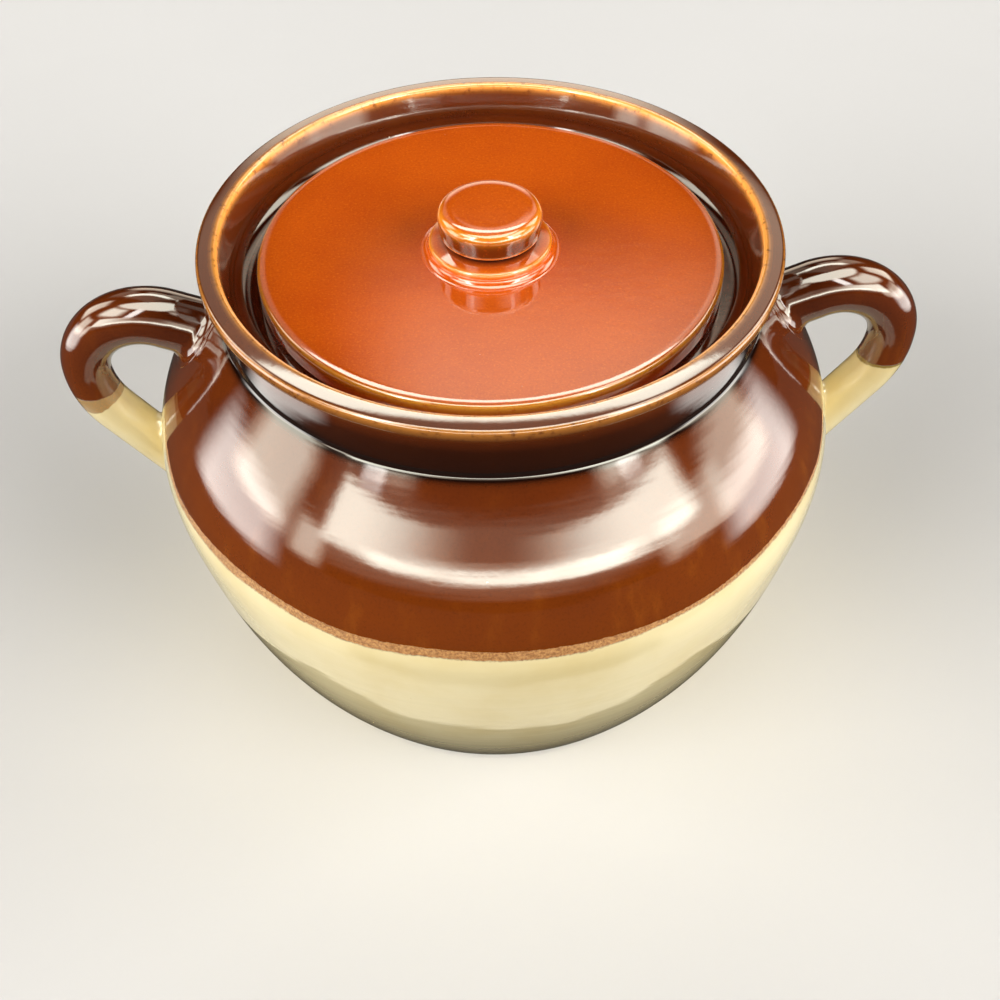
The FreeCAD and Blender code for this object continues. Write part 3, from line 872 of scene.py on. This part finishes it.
studio = {
    "floor": (0.60, 0.60, 0.605),
    "floorRoughness": 0.7,
    "floorUnseen": (0.045, 0.044, 0.042),  # the floor as it lights the pot and is mirrored in it: painted darker than it looks, as shade, with a painted shadow of the belly inside the ring
    "floorRing": (0.46, 0.45, 0.40),  # the part of it that the belly mirrors
    "ringRadii": (0.0925, 0.0945, 0.117, 0.133),  # its start, full from, full to, end, in metres
    "ringSquash": 0.78,  # along X, as the ring is an ellipse
    "ringWaves": 0.012,  # how far its edges wander
    "ringWaveScale": 28.0,
    "ringSides": (0.078, 0.100),  # distances along X between which it widens
    "ringGrowth": 0.030,  # by how much, inwards and outwards
    "floorSize": 6.0,
    "air": (0.80, 0.82, 0.86),
    "airStrength": 0.04,
    "backdrop": (0.88, 0.88, 0.87),
    "aim": (0.0, 0.0, 0.11),
    "lamps": [
        # far lamps that light everything evenly and are mirrored by nothing
        # name, turn from the front, lift above the table, spread in degrees, strength
        ("leftKey", -56, 26, 40, 3.10),
        ("rightKey", 53, 26, 40, 3.15),
        ("frontKey", 0, 12, 28, 0.30),
        ("backLamp", 180, 30, 38, 0.50),
        ("leftFill", -92, 12, 34, 2.75),
        ("rightFill", 94, 12, 34, 3.15),
    ],
    "cards": [
        # soft pale cards close by that only the glaze mirrors
        # name, turn, lift, distance, width, height, brightness
        ("leftCard", -84, -1, 0.50, 0.40, 0.24, 5.5),
        ("rightCard", 84, -1, 0.50, 0.40, 0.24, 5.0),
        ("leftSpot", -43, 40, 0.295, 0.048, 0.190, 12.0),
        ("rightSpot", 43.5, 40, 0.296, 0.048, 0.190, 12.0),
    ],
    "cardSoftness": 0.28,
    "lampDistance": 4.0,
    "panels": [
        # soft pale panels far off that only the glaze mirrors
        # name, turn, lift, brightness. Each fades in from its first angle to its second, and out
        # from the third to the fourth. A turn above 90 runs on past the back, up to 360
        ("leftWindow", (-61, -56, -52, -8), (9.5, 15.5, 27, 30.5), 10),
        ("rightWindow", (0, 46, 60, 68), (8, 13, 25, 29.5), 10),
        ("lowBand", (-48, -38, 34, 48), (9.5, 13, 14.5, 18), 6.5),
        ("lowMiddle", (-20, -10, 10, 20), (11, 13.5, 15, 17), 3),
        ("lowHaze", (-40, -20, 20, 40), (12, 15, 17, 22), 3.2),
        ("frontHaze", (-72, -50, 50, 72), (3, 9, 29, 35), 0.8),
        ("leftInner", (-70, -64, -60, -54), (-2, 4, 12, 17), 5),
        ("leftHaze", (-101, -90, -76, -66), (1, 7, 23, 29), 6),
        ("rightInner", (46, 54, 72, 80), (-2, 4, 13, 20), 4.5),
        ("rightHaze", (68, 80, 94, 102), (-2, 4, 16, 24), 4),
        ("highFront", (-95, -75, 105, 130), (57, 63, 90, 96), 9),
        ("highLeft", (-86, -68, -46, -30), (31, 39, 52, 60), 9.5),
        ("highRight", (34, 46, 80, 94), (27, 35, 50, 60), 7.5),
        ("backEdge", (140, 156, 204, 220), (46.5, 48.5, 55, 59), 10),
        ("backTop", (130, 150, 210, 230), (54, 58, 84, 90), 0.7),
        ("backHaze", (152, 166, 180, 187), (34.5, 43, 46.5, 49), 1.9),
        ("backWindow", (160, 170, 190, 200), (6, 10, 20, 30), 2.5),
        ("leftRear", (230, 237, 252, 262), (12, 19, 42, 52), 5.5),
        ("leftVeil", (190, 198, 212, 222), (22, 30, 46, 52), 0.7),
        ("rightVeil", (138, 148, 158, 166), (22, 30, 46, 52), 1.5),
        ("rightRear", (98, 108, 123, 130), (12, 19, 42, 52), 6),
    ],
    "panelDim": (1.0, 0.82, 0.62),  # colour where the panels are dim
    "panelBright": (1.0, 0.99, 0.84),
    "panelRange": (1.0, 8.0),  # brightness of those two colours
    "lampColour": (1.0, 0.97, 0.91),
    "cameraPlace": (-11.75011, -300.85267, 362.64716),  # in millimetres
    "cameraTurn": (43.186004, 0.674184, -3.218230),  # in degrees
    "lens": 50.4,
    "sensorWidth": 36,
    "clipStart": 0.01,
}


def makeFloor():
    half = studio["floorSize"] / 2
    mesh = bpy.data.meshes.new("floor")
    corners = [(-half, -half, 0), (half, -half, 0), (half, half, 0), (-half, half, 0)]
    mesh.from_pydata(corners, [], [(0, 1, 2, 3)])
    floor = bpy.data.objects.new("floor", mesh)
    bpy.context.scene.collection.objects.link(floor)
    material = bpy.data.materials.new("pale_floor")
    material.use_nodes = True
    tree = material.node_tree
    path = addNode(tree, "ShaderNodeLightPath").outputs

    # the ring round the pot that only the glaze mirrors, with wavy edges, and wider at the sides.
    # Inside it the mirrored floor keeps the dark tone, a painted shadow of the belly on the table
    spot = addNode(tree, "ShaderNodeTexCoord").outputs["Object"]
    squash = {0: spot, 1: (studio["ringSquash"], 1, 1)}
    away = addNode(tree, "ShaderNodeVectorMath", squash, operation="MULTIPLY").outputs[0]
    away = addNode(tree, "ShaderNodeVectorMath", {0: away}, operation="LENGTH").outputs["Value"]
    noise = {"Vector": spot, "Scale": studio["ringWaveScale"], "Detail": 2.0}
    waves = addNode(tree, "ShaderNodeTexNoise", noise).outputs[0]
    away = reckon(tree, "ADD", away, reckon(tree, "MULTIPLY", waves, studio["ringWaves"]))
    near, far = studio["ringSides"]
    sideways = addNode(tree, "ShaderNodeSeparateXYZ", {0: spot}).outputs["X"]
    sides = addNode(tree, "ShaderNodeMapRange", {
        "Value": reckon(tree, "ABSOLUTE", sideways),
        "From Min": near,
        "From Max": far,
        "To Max": studio["ringGrowth"],
    }).outputs[0]
    start, fullFrom, fullTo, end = studio["ringRadii"]
    inner = fade(tree, reckon(tree, "ADD", away, sides), start, fullFrom)
    outer = fade(tree, reckon(tree, "SUBTRACT", away, sides), end, fullTo)
    ring = reckon(tree, "MULTIPLY", reckon(tree, "MULTIPLY", inner, outer), path["Is Glossy Ray"])

    # painted shade: all but the camera see the dark tone, and glossy rays see the pale ring round
    # the painted shadow
    unseen = blendColours(tree, ring, studio["floorUnseen"], studio["floorRing"])
    tone = blendColours(tree, path["Is Camera Ray"], unseen, studio["floor"])
    shader = tree.nodes["Principled BSDF"]
    tree.links.new(tone, shader.inputs["Base Color"])
    shader.inputs["Roughness"].default_value = studio["floorRoughness"]
    shader.inputs["Specular IOR Level"].default_value = 0.0
    mesh.materials.append(material)


def softenEdges(data, softness):
    # the card's face fades towards its edges, over the given share of its width and height
    data.use_nodes = True
    tree = data.node_tree
    spot = addNode(tree, "ShaderNodeNewGeometry").outputs["Parametric"]
    face = addNode(tree, "ShaderNodeSeparateXYZ", {0: spot}).outputs
    fades = []
    for side in ("X", "Y"):
        off = reckon(tree, "ABSOLUTE", reckon(tree, "SUBTRACT", face[side], 0.5))
        fades.append(fade(tree, off, 0.5, 0.5 - softness))
    tree.links.new(reckon(tree, "MULTIPLY", *fades), tree.nodes["Emission"].inputs["Strength"])


def placeLamp(name, data, turn, lift, distance):
    # a lamp at the given angles and distance that faces the pot
    turn, lift = math.radians(turn), math.radians(lift)
    flat = math.cos(lift)
    way = Vector((math.sin(turn) * flat, -math.cos(turn) * flat, math.sin(lift)))
    data.color = studio["lampColour"]
    lamp = bpy.data.objects.new(name, data)
    lamp.location = Vector(studio["aim"]) + way * distance
    lamp.rotation_euler = (-way).to_track_quat("-Z", "Y").to_euler()
    lamp.visible_camera = False
    bpy.context.scene.collection.objects.link(lamp)
    return lamp


def makeLamps():
    for name, turn, lift, spread, strength in studio["lamps"]:
        data = bpy.data.lights.new(name, "SUN")
        data.angle = math.radians(spread)
        data.energy = strength
        placeLamp(name, data, turn, lift, studio["lampDistance"]).visible_glossy = False


def makeCards():
    # a card's power is its brightness times its area, so that a larger card looks as bright
    for name, turn, lift, distance, width, height, brightness in studio["cards"]:
        data = bpy.data.lights.new(name, "AREA")
        data.shape = "RECTANGLE"
        data.size, data.size_y = width, height
        data.energy = brightness * math.pi * width * height
        softenEdges(data, studio["cardSoftness"])
        placeLamp(name, data, turn, lift, distance).visible_diffuse = False


def makeWorld():
    # three airs: a pale one for the camera, the panels that gloss mirrors, and a faint one
    world = bpy.data.worlds.new("studio_air")
    world.use_nodes = True
    tree = world.node_tree
    way = addNode(tree, "ShaderNodeTexCoord").outputs["Generated"]
    way = addNode(tree, "ShaderNodeSeparateXYZ", {0: way}).outputs
    lift = reckon(tree, "DEGREES", reckon(tree, "ARCSINE", way["Z"]))
    ahead = reckon(tree, "MULTIPLY", way["Y"], -1.0)
    turn = reckon(tree, "DEGREES", reckon(tree, "ARCTAN2", way["X"], ahead))
    turnOn = reckon(tree, "FLOORED_MODULO", turn, 360.0)  # runs on past the back
    light = 0.0
    for _, turns, lifts, brightness in studio["panels"]:
        panel = brightness
        for value, angles in ((turnOn if turns[0] > 90 else turn, turns), (lift, lifts)):
            gone, full, fullTo, goneFrom = angles
            into, out = fade(tree, value, gone, full), fade(tree, value, goneFrom, fullTo)
            panel = reckon(tree, "MULTIPLY", reckon(tree, "MULTIPLY", into, out), panel)
        light = reckon(tree, "ADD", panel, light)
    shine = fade(tree, light, *studio["panelRange"])
    tint = blendColours(tree, shine, studio["panelDim"], studio["panelBright"])
    panels = addNode(tree, "ShaderNodeBackground", {"Color": tint, "Strength": light})
    air = tree.nodes["Background"]
    air.inputs["Color"].default_value = (*studio["air"], 1)
    air.inputs["Strength"].default_value = studio["airStrength"]
    pale = {"Color": (*studio["backdrop"], 1), "Strength": 1.0}
    backdrop = addNode(tree, "ShaderNodeBackground", pale)
    path = addNode(tree, "ShaderNodeLightPath").outputs
    chosen = air.outputs[0]
    for ray, seen in (("Is Glossy Ray", panels), ("Is Camera Ray", backdrop)):
        inputs = {0: path[ray], 1: chosen, 2: seen.outputs[0]}
        chosen = addNode(tree, "ShaderNodeMixShader", inputs).outputs[0]
    tree.links.new(chosen, tree.nodes["World Output"].inputs[0])
    bpy.context.scene.world = world


def makeCamera():
    data = bpy.data.cameras.new("camera")
    data.lens = studio["lens"]
    data.sensor_width = studio["sensorWidth"]
    data.clip_start = studio["clipStart"]
    camera = bpy.data.objects.new("camera", data)
    camera.location = Vector(studio["cameraPlace"]) * mm
    camera.rotation_euler = Euler([math.radians(a) for a in studio["cameraTurn"]], "XYZ")
    bpy.context.scene.collection.objects.link(camera)
    bpy.context.scene.camera = camera


makeFloor()
makeLamps()
makeCards()
makeWorld()
makeCamera()
bpy.context.scene.view_settings.view_transform = "Standard"
print("stage set")
